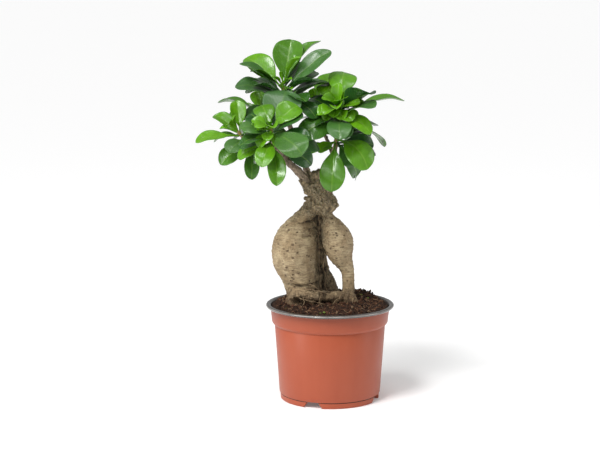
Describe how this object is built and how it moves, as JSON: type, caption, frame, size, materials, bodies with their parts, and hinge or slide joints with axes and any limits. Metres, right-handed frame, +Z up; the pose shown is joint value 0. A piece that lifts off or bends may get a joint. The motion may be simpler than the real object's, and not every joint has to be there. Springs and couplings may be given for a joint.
{
  "type": "potted bonsai fig",
  "caption": "Small bonsai fig with a swollen two-legged root trunk, grafted branches and glossy oval leaves, in a round plastic nursery pot with soil.",
  "frame": {"origin": "on the pot's axis, at the surface that the pot stands on", "axes": "+Z up along the pot's axis, -Y towards the front, +X to the right seen from the front"},
  "size_m": [0.1882, 0.1627, 0.3356],
  "materials": {
    "pot": "satin",
    "soil": "matte",
    "bark": "matte",
    "twig": "matte",
    "young_leaf": "satin",
    "grown_leaf": "satin"
  },
  "bodies": {
    "root": {"branch_left": "twig", "branch_right": "twig", "branch_top": "twig", "leaf_back_left_1": "young_leaf", "leaf_back_left_2": "young_leaf", "leaf_back_left_3": "grown_leaf", "leaf_back_left_4": "grown_leaf", "leaf_back_left_5": "grown_leaf", "leaf_back_left_6": "grown_leaf", "leaf_back_right_1": "young_leaf", "leaf_back_right_2": "young_leaf", "leaf_back_right_3": "grown_leaf", "leaf_back_right_4": "grown_leaf", "leaf_back_right_5": "grown_leaf", "leaf_front_1": "young_leaf", "leaf_front_10": "grown_leaf", "leaf_front_2": "young_leaf", "leaf_front_3": "grown_leaf", "leaf_front_4": "grown_leaf", "leaf_front_5": "grown_leaf", "leaf_front_6": "grown_leaf", "leaf_front_7": "grown_leaf", "leaf_front_8": "grown_leaf", "leaf_front_9": "grown_leaf", "leaf_left_1": "young_leaf", "leaf_left_2": "young_leaf", "leaf_left_3": "grown_leaf", "leaf_left_4": "grown_leaf", "leaf_left_5": "grown_leaf", "leaf_left_6": "grown_leaf", "leaf_left_7": "grown_leaf", "leaf_left_8": "grown_leaf", "leaf_low_right_1": "young_leaf", "leaf_low_right_2": "young_leaf", "leaf_low_right_3": "grown_leaf", "leaf_low_right_4": "grown_leaf", "leaf_low_right_5": "grown_leaf", "leaf_low_right_6": "grown_leaf", "leaf_right_1": "young_leaf", "leaf_right_10": "grown_leaf", "leaf_right_2": "young_leaf", "leaf_right_3": "grown_leaf", "leaf_right_4": "grown_leaf", "leaf_right_5": "grown_leaf", "leaf_right_6": "grown_leaf", "leaf_right_7": "grown_leaf", "leaf_right_8": "grown_leaf", "leaf_right_9": "grown_leaf", "leaf_top_1": "young_leaf", "leaf_top_2": "young_leaf", "leaf_top_3": "grown_leaf", "leaf_top_4": "grown_leaf", "leaf_top_5": "grown_leaf", "leaf_top_6": "grown_leaf", "leaf_top_7": "grown_leaf", "leaf_top_8": "grown_leaf", "leaf_top_9": "grown_leaf", "nursery_pot": "pot", "potting_soil": "soil", "trunk_and_roots": "bark"}
  },
  "joints": []
}
